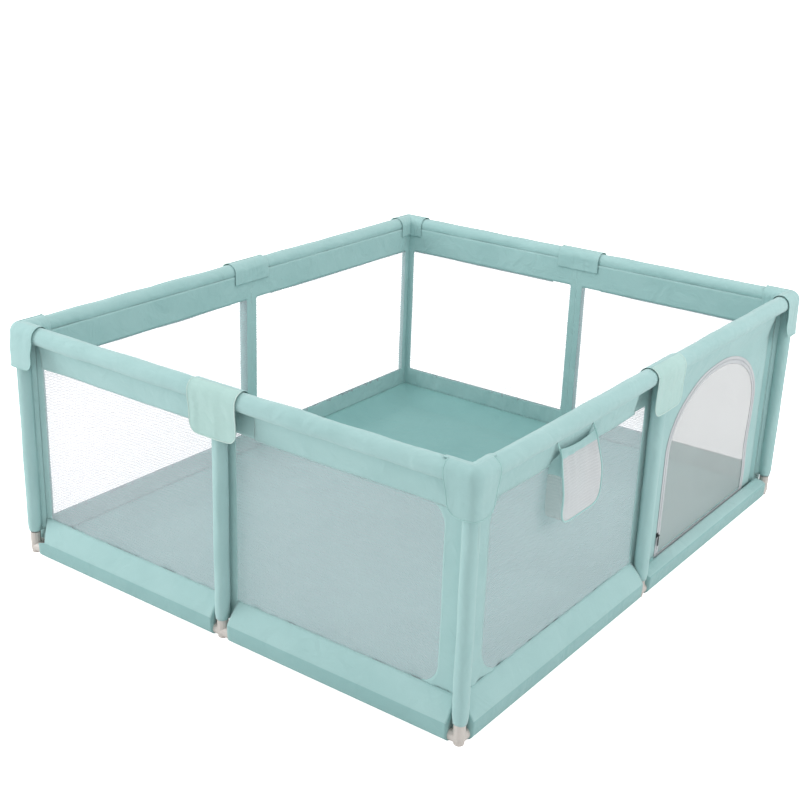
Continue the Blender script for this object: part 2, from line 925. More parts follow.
@dataclass
class WallFrame:
    """Fabric frame of a bay in the plane of the wall, round the net's window."""

    bay: Bay
    top: float = 0.641
    foot: float = 0.040
    window_top: float = 0.556
    window_foot: float = 0.103
    middle_strip: float = 0.030
    corner_strip: float = 0.047
    corner_radius: float = 0.006
    middle_radius: float = 0.006
    inside_share: float = 0.72
    near_end: float = 0.02
    loose: float = 1.1 * MM
    gather: float = 4.5 * MM
    gather_top: float = 0.135
    stitch_inset: float = 5 * MM
    least_area: float = 0.301
    cells: tuple[int, int] = (480, 12)
    thickness: float = 1.0 * MM

    @property
    def outer(self) -> tuple[Point2, Point2]:
        """Low and high corner of the frame."""
        low, high = self.bay.span(0.0, self.bay.length + LAYOUT.sheet_out)
        return (low, self.foot), (high, self.top)

    @property
    def window(self) -> tuple[Point2, Point2]:
        """Edges of the window. The middle strips of the back and the left wall are narrower.

        Returns:
            Its low and its high corner.
        """
        narrow = self.bay.side in (Side.BACK, Side.LEFT)
        strip = self.inside_share * self.middle_strip if narrow else self.middle_strip
        low, high = self.bay.span(strip, self.bay.length - self.corner_strip)
        return (low, self.window_foot), (high, self.window_top)

    def slack(self, along: float, z: float) -> float:
        """How far the cloth stands off its flat plane.

        Args:
            along: Place along the wall.
            z: Height.

        Returns:
            The distance outwards, 0 at the seams.
        """
        free = ease((self.top - z) / 0.03) * ease((z - self.foot) / 0.03) * self.away_from_ends(along)
        flat = self.loose * ripple(along * 9, z * 7, self.bay.seed + 40)
        pulled = ease((self.gather_top - z) / 0.04)
        gathered = self.gather * ripple(along * 34, z * 3, self.bay.seed + 45) * pulled
        return free * (flat + gathered)

    def away_from_ends(self, along: float) -> float:
        """0 at the seams of the middle and the corner post, and 1 a little way from them."""
        gap = self.bay.length + LAYOUT.sheet_out - abs(along)
        return ease(abs(along) / self.near_end) * ease(gap / self.near_end)

    def surface(self, u: float, v: float) -> Vector:
        """Point of the frame.

        Args:
            u: Share of the way round the window.
            v: Share of the way from its edge to the frame's.

        Returns:
            The point.
        """
        inner = self.opening(-u)
        outer = rounded_box(-u, *self.outer, SQUARE_CORNERS)
        along, z = (blend(a, b, v) for a, b in zip(inner, outer))
        return self.bay.point(along, LAYOUT.sheet_out + self.slack(along, z), z)

    def opening(self, t: float) -> Point2:
        """Point round the opening, at a share of the way round."""
        radii = (self.middle_radius, self.corner_radius)
        return rounded_box(t, *self.window, radii if self.bay.number == 2 else radii[::-1])

    def build(self) -> bpy.types.Object:
        """Makes the frame, with its UV map laid flat on the wall, and its stitches.

        Returns:
            The frame.
        """
        low, high = self.outer
        mesh = cloth_mesh(f"frame_{self.bay.name}", self.cells, self.surface, (1, 1), True)
        layer = mesh.uv_layers.active.data
        for loop in mesh.loops:
            place = mesh.vertices[loop.vertex_index].co
            flat = place.x if self.bay.side.value % 2 == 0 else place.y
            layer[loop.index].uv = (flat, place.z)
        obj = add_piece(
            mesh.name, mesh, FINISH.oxford, thickness=self.thickness, replaces=(self.bay.wall_node,)
        )
        steps = 600
        rim, beyond = ([self.surface(i / steps, v) for i in range(steps + 1)] for v in (0.0, 0.08))
        line = [a + (b - a).normalized() * self.stitch_inset for a, b in zip(rim, beyond)]
        mesh = stitch_mesh(f"frame_stitches_{self.bay.name}", [line], 5 * MM, 0.9 * MM)
        stitches = add_piece(mesh.name, mesh, FINISH.thread)
        flat = (high[0] - low[0], high[1] - low[1])
        f"roll_{self.bay.name}"
        self.area(flat)
        return obj

    def area(self, flat: Point2) -> float:
        """Flat area of the frame's cut, without its window.

        Args:
            flat: Size of the rectangle that it is cut from.

        Returns:
            The area, no less than the least share of the rectangle that a sheet may have.
        """
        (left, foot), (right, top) = self.window
        whole = flat[0] * flat[1]
        return max(whole - (right - left) * (top - foot), self.least_area * whole)


@dataclass
class WallNet:
    """Net sewn behind a bay's fabric frame."""

    frame: WallFrame
    hem: float = 0.012
    behind: float = 0.5 * MM
    slack: float = 3.0 * MM
    cells: tuple[int, int] = (60, 36)

    def surface(self, u: float, v: float) -> Vector:
        """Point of the net. Its hem follows the frame's cloth.

        Args:
            u: Share of the way along it.
            v: Share of the way up from its foot.

        Returns:
            The point.
        """
        (left, foot), (right, top) = self.frame.window
        along = blend(left - self.hem, right + self.hem, u)
        z = blend(foot - self.hem, top + self.hem, v)
        free = math.sin(math.pi * u) * math.sin(math.pi * v)
        out = LAYOUT.sheet_out - self.behind + self.frame.slack(along, z) * (1 - min(6 * free, 1))
        out += self.slack * free * ripple(along * 4, z * 4, self.frame.bay.seed + 50)
        return self.frame.bay.point(along, out, z)

    def build(self) -> None:
        """Makes the net."""
        (left, foot), (right, top) = self.frame.window
        flat = (right - left + 2 * self.hem, top - foot + 2 * self.hem)
        bay = self.frame.bay
        mesh = cloth_mesh(f"net_{bay.name}", self.cells, self.surface, flat)
        obj = add_piece(mesh.name, mesh, FINISH.net, replaces=(bay.wall_node,))
        f"frame_{bay.name}"


@dataclass
class BaseSleeve:
    """Sleeve round a base rail: an upright face, and a slope from it up to the wall."""

    bay: Bay
    middle_gap: float = 0.0215
    corner_gap: float = 0.0235
    corner_cut: float = 0.0
    floor: float = 1.1 * MM
    face_out: float = 0.0208
    face_top: float = 0.052
    slope_top: float = 0.104
    door_top: float = 0.062
    door_back: float = -0.0150
    closing: float = 0.96
    thickness: float = 1.0 * MM
    cells: tuple[int, int] = (110, 30)

    def section(self) -> list[Point2]:
        """The sleeve's section, from the wall down the outside and back inside.

        Returns:
            Its corners, as (out, z).
        """
        back = self.door_back if self.bay.has_door else LAYOUT.sheet_face + 0.6 * MM
        top = self.door_top if self.bay.has_door else self.slope_top
        return [
            (back, top),
            (self.face_out, self.face_top),
            (self.face_out - 2.5 * MM, self.floor + 9 * MM),
            (self.face_out - 11 * MM, self.floor),
            (back, self.floor),
            (back, top - 4 * MM),
        ]

    def on_section(self, share: float) -> tuple[int, float, float, float]:
        """Walks along the section.

        Args:
            share: Share of its girth, from the wall down.

        Returns:
            The number of the run that is reached, the share of that run, and the point's out and z.
        """
        section = self.section()
        runs = [math.dist(a, b) for a, b in zip(section, section[1:])]
        gone = share * sum(runs)
        index = 0
        while index < len(runs) - 1 and gone > runs[index]:
            gone -= runs[index]
            index += 1
        part = min(gone / runs[index], 1.0)
        out, z = (blend(a, b, part) for a, b in zip(section[index], section[index + 1]))
        return index, part, out, z

    def corner_end(self, index: int, out: float) -> float:
        """Gap to the corner post's axis, where the slope may be cut at a slant.

        Args:
            index: Number of the section's run.
            out: The point's place outwards.

        Returns:
            The gap.
        """
        if index > 0:
            return self.corner_gap + (6 * MM if self.corner_cut else 0.0)
        forward = (out - LAYOUT.sheet_face) / (self.face_out - LAYOUT.sheet_face)
        return self.corner_gap + self.corner_cut * min(max(forward, 0.0), 1.0)

    def surface(self, u: float, v: float) -> Vector:
        """Point of the sleeve. The first and the last column close its ends.

        Args:
            u: Share of the way along it.
            v: Share of the way round it, from inside the wall back to the wall.

        Returns:
            The point.
        """
        column = u * self.cells[0]
        index, share, out, z = self.on_section(1 - v)
        low, high = self.bay.span(self.middle_gap, self.bay.length - self.corner_end(index, out))
        along = blend(low, high, min(max((column - 1) / (self.cells[0] - 2), 0), 1))
        soft = ripple(along * 7, (1 - v) * 4, self.bay.seed + 60)
        if index == 0:
            lift = math.sin(math.pi * share)
            out += 1.5 * MM * lift * (1 + soft)
            z += 1.0 * MM * lift * (1 + soft)
        elif index == 1:
            out += 0.8 * MM * soft * math.sin(math.pi * share)
        if column < 0.5 or column > self.cells[0] - 0.5:
            out, z = blend(out, 0.0, self.closing), blend(z, LAYOUT.base_z, self.closing)
        return self.bay.point(along, out, max(z, self.floor))

    def build(self) -> None:
        """Makes the sleeve, whose slope is of the paler cloth."""
        section = self.section()
        girth = sum(math.dist(a, b) for a, b in zip(section, section[1:]))
        flat = (self.bay.length - self.middle_gap - self.corner_gap, girth)
        mesh = cloth_mesh(f"base_sleeve_{self.bay.name}", self.cells, self.surface, flat)
        obj = add_piece(
            mesh.name, mesh, FINISH.base, thickness=self.thickness, replaces=(self.bay.wall_node,)
        )
        mesh.materials.append(FINISH.oxford.material())
        for polygon in mesh.polygons:
            polygon.material_index = int(polygon.center.z > self.face_top)
        f"base_rail_{self.bay.name}"


@dataclass
class PostSleeve:
    """Cloth sleeve round a post, gathered a little where the post enters its base connector."""

    side: Side
    at_corner: bool
    radius: float = 0.0193
    middle_foot: float = 0.052
    corner_foot: float = 0.066
    near_foot: float = 0.055
    top: float = 0.622
    taper: float = 2.5 * MM
    cells: tuple[int, int] = (40, 90)
    thickness: float = 1.0 * MM

    @property
    def name(self) -> str:
        """Name of the sleeve, after its post."""
        return f"post_sleeve_{self.side.corner if self.at_corner else self.side.wall + '_mid'}"

    @property
    def foot(self) -> float:
        """Height of the sleeve's lower edge."""
        corner = self.near_foot if self.side is Side.FRONT else self.corner_foot
        return corner if self.at_corner else self.middle_foot

    def surface(self, u: float, v: float) -> Vector:
        """Point of the sleeve, drawn in at its hem.

        Args:
            u: Share of the way round it.
            v: Share of the way up.

        Returns:
            The point.
        """
        centre = LAYOUT.along(self.side) if self.at_corner else 0.0
        angle = 2 * math.pi * u
        z = blend(self.foot, self.top, v)
        seed = 5.0 * self.side.value + (2.5 if self.at_corner else 0.0)
        hem = 1 - ease((z - self.foot) / 0.02)
        radius = self.radius - self.taper * hem
        radius += 0.8 * MM * ripple(math.cos(angle) * 1.2, z * 9, seed + math.sin(angle))
        radius += 0.45 * MM * hem * math.cos(9 * angle + seed)
        radius += 0.5 * MM * ripple(angle * 2.5, z * 30, seed) * ease((z - 0.48) / 0.08)
        return LAYOUT.point(
            self.side, centre + radius * math.cos(angle), -radius * math.sin(angle), z
        )

    def build(self) -> None:
        """Makes the sleeve."""
        flat = (math.tau * self.radius, self.top - self.foot)
        mesh = cloth_mesh(self.name, self.cells, self.surface, flat, True)
        obj = add_piece(self.name, mesh, FINISH.oxford, thickness=self.thickness)
        self.name.replace("post_sleeve", "post")


@dataclass
class CornerWeb:
    """Web that joins a corner's sleeve to the seam of its two walls."""

    side: Side
    foot: float = 0.068
    top: float = 0.638
    reach: float = 0.0125
    thickness: float = 1.0 * MM
    cells: tuple[int, int] = (4, 60)

    def surface(self, u: float, v: float) -> Vector:
        """Point of the web.

        Args:
            u: Share of the way from the walls' seam to the sleeve.
            v: Share of the way up.

        Returns:
            The point.
        """
        back = blend(LAYOUT.sheet_out, -self.reach, u)
        z = blend(self.foot, self.top, v)
        soft = 0.8 * MM * ripple(z * 12, u, 61.0 + self.side.value) * math.sin(math.pi * u)
        return LAYOUT.point(self.side, LAYOUT.along(self.side) + back + soft, back - soft, z)

    def build(self) -> None:
        """Makes the web."""
        flat = (math.sqrt(2) * (-LAYOUT.sheet_out - self.reach), self.top - self.foot)
        mesh = cloth_mesh(f"web_{self.side.corner}", self.cells, self.surface, flat)
        obj = add_piece(mesh.name, mesh, FINISH.oxford, thickness=self.thickness)


# Flaps.


@dataclass
class Flap:
    """Two-leaf flap over a joint of the top rails: the outer leaf lifts, the inner one is sewn on.

    A flap is laid out by across, the distance from the post's axis along its front or side, and by
    depth, the distance down from its hinge line on the crown.
    """

    side: Side
    at_corner: bool
    hinge_out: float = 0.004
    foot: float = LAYOUT.flap_foot + 2 * MM
    corner_radius: float = 0.030
    inner_foot: float = 0.612
    thickness: float = 1.8 * MM
    inner_thickness: float = 1.0 * MM
    stitch_inset: float = 6 * MM
    lean: float = 3.5 * MM
    flare: float = 2.5 * MM
    narrow: float = 1.0
    stand_off: float = 0.0
    cells: tuple[int, int] = (64, 44)

    @property
    def name(self) -> str:
        """Name of the CAD node and body of the outer leaf."""
        return f"flap_{self.side.corner if self.at_corner else self.side.wall + '_mid'}"

    @property
    def radius(self) -> float:
        """Radius of the outer surface round the rail's axis."""
        return LAYOUT.flap_out - 0.3 * MM

    @property
    def turn_length(self) -> float:
        """Depth over the roll, from the hinge line to where the leaf hangs straight."""
        return self.radius * math.acos(self.hinge_out / self.radius)

    @property
    def depth(self) -> float:
        """Depth of the whole outer leaf."""
        return self.turn_length + LAYOUT.top_z - self.foot

    @property
    def seed(self) -> float:
        """A number of its own for the flap's noise."""
        return 11.0 + 2.7 * self.side.value + (1.3 if self.at_corner else 0.0)

    def hanging(self, depth: float) -> Point2:
        """Section of the outer leaf, over the roll and down.

        Args:
            depth: Distance from the hinge line.

        Returns:
            The place outwards and the height.
        """
        if depth < self.turn_length:
            angle = math.acos(self.hinge_out / self.radius) - depth / self.radius
            return self.radius * math.cos(angle), LAYOUT.top_z + self.radius * math.sin(angle)
        drop = depth - self.turn_length
        return self.radius - self.lean * ease(drop / 0.06), LAYOUT.top_z - drop

    def reach(self, depth: float) -> float:
        """Half the width, with rounded lower corners.

        Args:
            depth: Distance from the hinge line.

        Returns:
            Half the width there.
        """
        full = LAYOUT.flap_reach * self.narrow - 1.0 * MM - self.flare * ease(depth / self.depth)
        over = depth - (self.depth - self.corner_radius)
        if over <= 0:
            return full
        return full - self.corner_radius + math.sqrt(max(self.corner_radius**2 - over**2, 0))

    def place(self, across: float, out: float, z: float) -> Vector:
        """Point of a flap: straight along one wall, or round the corner of two.

        Args:
            across: Distance from the post's axis, along the flap.
            out: Distance outwards from the rails' axes.
            z: Height.

        Returns:
            The point in the row frame.
        """
        if not self.at_corner:
            return LAYOUT.point(self.side, across, out, z)
        post = LAYOUT.along(self.side)
        bend = max(out, 0.002) * math.pi / 2
        if across < -bend / 2:
            return LAYOUT.point(self.side, post + across + bend / 2, out, z)
        if across > bend / 2:
            x, y = out, across - bend / 2
        else:
            angle = math.pi / 2 * (across / bend + 0.5)
            x, y = out * math.sin(angle), -out * math.cos(angle)
        return self.side.turned(Vector((post + x, -LAYOUT.across(self.side) + y, z)))

    def outer(self, u: float, v: float) -> Vector:
        """Point of the outer leaf.

        Args:
            u: Share of the way across it.
            v: Share of the way up from its lower edge.

        Returns:
            The point.
        """
        depth = self.depth * (1 - v)
        out, z = self.hanging(depth)
        reach = self.reach(depth)
        if self.at_corner:
            reach += max(out, 0.002) * math.pi / 4
        share = 2 * u - 1
        low = ease((depth - self.turn_length) / 0.05)
        across = reach * share
        soft = ripple(across * 16, depth * 10, self.seed)
        edge = abs(share) ** 3
        out += 0.7 * MM * ripple(across * 55, depth * 6, self.seed + 6) * ease(depth / 0.02)
        out += low * (1.4 * MM * soft + (2.0 * MM * ripple(across * 9, depth * 18, self.seed + 3)) * edge)
        out = min(out, LAYOUT.flap_out - 0.1 * MM) + self.stand_off * low
        return self.place(across, out, z)

    def inner(self, u: float, v: float) -> Vector:
        """Point of the inner leaf, which is folded into the corner of two walls at a corner.

        Args:
            u: Share of the way across it.
            v: Share of the way from its lower edge, inside, up to the crown.

        Returns:
            The point.
        """
        radius = LAYOUT.roll + 2.4 * MM
        angle_top = math.acos(min((self.hinge_out + 2 * MM) / radius, 1.0))
        turn = radius * (math.pi - angle_top)
        depth = (turn + LAYOUT.top_z - self.inner_foot) * (1 - v)
        angle = angle_top + depth / radius
        if depth < turn:
            out, z = radius * math.cos(angle), LAYOUT.top_z + radius * math.sin(angle)
        else:
            out, z = -radius, LAYOUT.top_z - (depth - turn)
        share = 2 * u - 1
        reach = LAYOUT.flap_reach - 2.5 * MM
        gather = ripple(share * 7, depth * 4, self.seed + 8) * ease(depth / 0.03)
        if not self.at_corner:
            out -= 0.6 * MM * gather
            return LAYOUT.point(self.side, reach * share, out, z)
        post = LAYOUT.along(self.side)
        nearest = max(-out, -(self.hinge_out + 2 * MM))
        run = blend(nearest, reach, abs(share))
        out -= 1.2 * MM * gather
        wall = -LAYOUT.across(self.side)
        if share < 0:
            return self.side.turned(Vector((post - run, wall - out, z)))
        return self.side.turned(Vector((post + out, wall + run, z)))

    def edge(self, inset: float) -> list[Vector]:
        """Points round the outer leaf's free edge.

        Args:
            inset: Distance inside the edge.

        Returns:
            The points, down one side, along the foot and up the other.
        """
        steps = 60
        share = inset / LAYOUT.flap_reach
        rise = inset / self.depth
        sides = [blend(0.97, rise, i / steps) for i in range(steps + 1)]
        left = [self.outer(share / 2, v) for v in sides]
        bottom = [self.outer(blend(share / 2, 1 - share / 2, i / steps), rise) for i in range(steps + 1)]
        right = [self.outer(1 - share / 2, v) for v in reversed(sides)]
        return left + bottom[1:-1] + right

    def build(self) -> None:
        """Makes both leaves, the binding round the outer leaf and its stitches."""
        cloth = FINISH.oxford if self.at_corner else FINISH.flap
        width = 2 * LAYOUT.flap_reach + (self.radius * math.pi / 2 if self.at_corner else 0.0)
        flat = (width, self.depth)
        mesh = cloth_mesh(f"{self.name}_outer", self.cells, self.outer, flat)
        leaf = add_piece(
            mesh.name, mesh, cloth, self.name, thickness=self.thickness, replaces=(self.name,)
        )
        binding = add_piece(
            f"{self.name}_binding",
            cord_mesh(f"{self.name}_binding", self.edge(0.0), 1.1 * MM),
            FINISH.binding if self.at_corner else FINISH.pale_binding,
            self.name,
        )
        stitches = add_piece(
            f"{self.name}_stitches",
            stitch_mesh(f"{self.name}_stitches", [self.edge(self.stitch_inset)], 4.5 * MM, 0.9 * MM),
            FINISH.thread,
            self.name,
        )
        self.name
        inner_flat = (2 * LAYOUT.flap_reach, LAYOUT.top_z - self.inner_foot + 1.6 * LAYOUT.roll)
        mesh = cloth_mesh(f"{self.name}_inner", (48, 24), lambda u, v: self.inner(1 - u, v), inner_flat)
        inner = add_piece(mesh.name, mesh, FINISH.oxford, thickness=self.inner_thickness)
        f"roll_{self.side.wall}_2"


# Floor mat.


@dataclass
class FloorMat:
    """Mat flat on the floor, its border turned up to the walls."""

    border: float = 0.11
    thickness: float = 3.0 * MM
    wave: float = 0.8 * MM
    pucker: float = 2.2 * MM
    cells: tuple[int, int] = (150, 180)

    @property
    def reach(self) -> Point2:
        """Half the size of the mat across X and Y."""
        return LAYOUT.half_x + LAYOUT.sheet_back, LAYOUT.half_y + LAYOUT.sheet_back

    def surface(self, u: float, v: float) -> Vector:
        """Point of the mat's upper face, with gathers where its border turns up.

        Args:
            u: Share of the way across X.
            v: Share of the way across Y.

        Returns:
            The point.
        """
        x, y = ((2 * s - 1) * reach for s, reach in zip((u, v), self.reach))
        inside = min(self.reach[0] - abs(x), self.reach[1] - abs(y))
        rise = (1 - min(inside / self.border, 1.0)) ** 1.35
        rim = LAYOUT.mat_rim - LAYOUT.mat_low - self.thickness
        along = y if self.reach[0] - abs(x) < self.reach[1] - abs(y) else x
        gathers = ripple(along * 26, inside * 8, 70.0 + math.copysign(1, x) + 2 * math.copysign(1, y))
        wave = self.wave * (1 + ripple(x * 3, y * 3, 71.0)) * ease(inside / 0.05)
        pucker = self.pucker * gathers * rise * ease(inside / 0.01)
        z = LAYOUT.mat_low + self.thickness + rim * rise + wave + max(pucker, -rim * rise)
        return Vector((x, y, z))

    def build(self) -> None:
        """Makes the mat."""
        flat = (2 * self.reach[0], 2 * self.reach[1])
        mesh = cloth_mesh("floor_mat_cloth", self.cells, self.surface, flat)
        obj = add_piece(
            mesh.name, mesh, FINISH.mat, thickness=self.thickness, replaces=("floor_mat",)
        )


# Door.


@dataclass
class DoorBay(WallFrame):
    """Fabric panel of the door's bay, with an arched opening, its zip and the net door in it."""

    corner_gap: float = 0.074
    panel_foot: float = 0.058
    panel_top: float = 0.632
    hinge: float = 0.066
    hang_from: float = 0.54
    top_out: float = -0.004
    stand_off: float = 1.0 * MM
    loose: float = 1.2 * MM
    arch_rise: float = 0.185
    waist: float = 9 * MM
    waist_height: float = 0.22
    strip_width: float = 0.12
    setback: float = 5 * MM
    net_hem: float = 4.0 * MM
    net_slack: float = 3.5 * MM
    net_fold: float = 5 * MM
    tape_lift: float = 1.4 * MM
    wall_tape: Point2 = (1.6 * MM, 12 * MM)
    door_tape: Point2 = (-10.5 * MM, 0.2 * MM)
    tape_thickness: float = 0.8 * MM

    @property
    def door(self) -> tuple[Vector, Vector]:
        """Box of the CAD door."""
        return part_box("door_panel")

    def arch(self, t: float, grow: float) -> Point2:
        """Point round the door's outline: a straight foot and legs, then an arch.

        Args:
            t: Share of the way round.
            grow: How much wider the outline is than the door.

        Returns:
            The place along the wall and the height.
        """
        low, high = self.door
        centre = (low.y + high.y) / 2
        half = (high.y - low.y) / 2 + grow
        rise = self.arch_rise + grow
        spring = high.z + grow - rise
        foot = low.z - (grow + 1.5 * MM if grow > 0 else 0.0)
        x, y = square_edge(t)
        if y >= 1.0:
            angle = math.pi * (1 - x) / 2
            return centre + half * math.cos(angle), spring + rise * math.sin(angle)
        z = blend(foot, spring, (y + 1) / 2)
        waist = self.waist * math.exp(-(((z - self.waist_height) / 0.07) ** 2)) * max(x, 0) ** 8
        return centre + half * x - waist, z

    def opening(self, t: float) -> Point2:
        """Point round the opening in the fabric, at a share of the way round."""
        return self.arch(t, 3.0 * MM)

    @property
    def outer(self) -> tuple[Point2, Point2]:
        """Low and high corner of the panel."""
        return (0.0, self.panel_foot), (self.bay.length - self.corner_gap, self.panel_top)

    def slack(self, along: float, z: float) -> float:
        """Stands off the wall a little, calm at the zip, and out under the roll at the top.

        Args:
            along: Place along the wall.
            z: Height.

        Returns:
            The distance outwards.
        """
        hang = ease((z - self.hang_from) / 0.09)
        on_zip = math.exp(-(((along - self.door[0].y) / 0.05) ** 2))
        soft = self.loose * ripple(along * 7, z * 5, 81.0) * (1 - hang) * (1 - 0.9 * on_zip)
        above = z - self.hinge
        stand = blend(self.stand_off * ease(above / 0.06), self.top_out - LAYOUT.sheet_out, hang)
        return (stand + soft * ease(above / 0.05)) * ease(abs(along) / 0.03)

    def area(self, flat: Point2) -> float:
        """Flat area of the panel's cut, less the arched opening.

        Args:
            flat: Size of the rectangle that it is cut from.

        Returns:
            The area.
        """
        low, high = self.door
        width = high.y - low.y
        legs = width * (high.z - low.z - self.arch_rise)
        return flat[0] * flat[1] - legs - math.pi / 4 * width * self.arch_rise

    def back_strip(self) -> None:
        """Inner layer of the corner strip, set back behind the panel's far edge."""
        low, high = self.bay.length - self.strip_width, self.bay.length + LAYOUT.sheet_out
        flat = (high - low, self.top - self.foot)

        def surface(u: float, v: float) -> Vector:
            """Point of the strip.

            Args:
                u: Share of the way along it.
                v: Share of the way up.

            Returns:
                The point.
            """
            along, z = blend(low, high, u), blend(self.foot, self.top, v)
            behind = self.setback * ease((high - along) / 0.03)
            return self.bay.point(along, LAYOUT.sheet_out - behind, z)

        mesh = cloth_mesh(f"strip_{self.bay.name}", (10, 60), surface, flat)
        obj = add_piece(mesh.name, mesh, FINISH.base, thickness=self.thickness)
        f"frame_{self.bay.name}"

    def out(self, along: float, z: float) -> float:
        """How far out the panel's middle surface is."""
        return LAYOUT.sheet_out + self.slack(along, z)

    def net_surface(self, u: float, v: float) -> Vector:
        """Point of the door's net, with one slanting fold near its top.

        Args:
            u: Share of the way round it.
            v: Share of the way from its middle to its edge.

        Returns:
            The point.
        """
        low, high = self.door
        along, z = self.arch(u, -self.net_hem)
        centre = ((low.y + high.y) / 2, low.z + 0.45 * (high.z - low.z))
        along, z = blend(centre[0], along, v), blend(centre[1], z, v)
        free = (1 - v**4) * ease((z - self.hinge - 4 * MM) / 0.07)
        out = self.out(along, z) - 1.2 * MM
        out += free * self.net_slack * ripple(along * 6, z * 6, 83.0)
        from_fold = (along - 0.55) * 0.8 + (z - 0.42)
        out += free * self.net_fold * math.exp(-((from_fold / 0.010) ** 2)) * ease((z - 0.36) / 0.06)
        return self.bay.point(along, out, z)

    def tape(self, name: str, edges: Point2, body: str) -> None:
        """Makes a woven zip tape round the opening.

        Args:
            name: Name of the tape.
            edges: Distances of its two edges outside the door's edge.
            body: The body that it moves with.
        """

        def surface(u: float, v: float) -> Vector:
            """Point of the tape, u round the door and v from its inner edge out."""
            along, z = self.arch(-u, blend(*edges, v))
            return self.bay.point(along, self.out(along, z) + self.tape_lift, z)

        low, high = self.door
        girth = 2 * (high.z - low.z) + 1.7 * (high.y - low.y)
        flat = (girth, edges[1] - edges[0])
        mesh = cloth_mesh(name, (240, 3), surface, flat, True)
        obj = add_piece(name, mesh, FINISH.tape, body, thickness=self.tape_thickness)

    def build(self) -> bpy.types.Object:
        """Makes the panel, the net door, both tapes and the teeth.

        Returns:
            The panel.
        """
        panel = super().build()
        self.back_strip()
        mesh = cloth_mesh("door_net", (160, 30), self.net_surface, (1, 1), True)
        layer = mesh.uv_layers.active.data
        for loop in mesh.loops:
            place = mesh.vertices[loop.vertex_index].co
            layer[loop.index].uv = (place.y, place.z)
        low, high = self.door
        net = add_piece(mesh.name, mesh, FINISH.door, "door_panel", replaces=("door_panel",))
        self.tape("zip_tape_wall", self.wall_tape, "root")
        self.tape("zip_tape_door", self.door_tape, "door_panel")
        steps = 900
        teeth = [
            self.bay.point(along, self.out(along, z) + 1.6 * MM, z)
            for along, z in (self.arch(-i / steps, 0.9 * MM) for i in range(steps + 1))
        ]
        mesh = stitch_mesh("zip_teeth", [teeth], 2.2 * MM, 1.8 * MM)
        add_piece("zip_teeth", mesh, FINISH.tape)
        return panel


# Pocket.


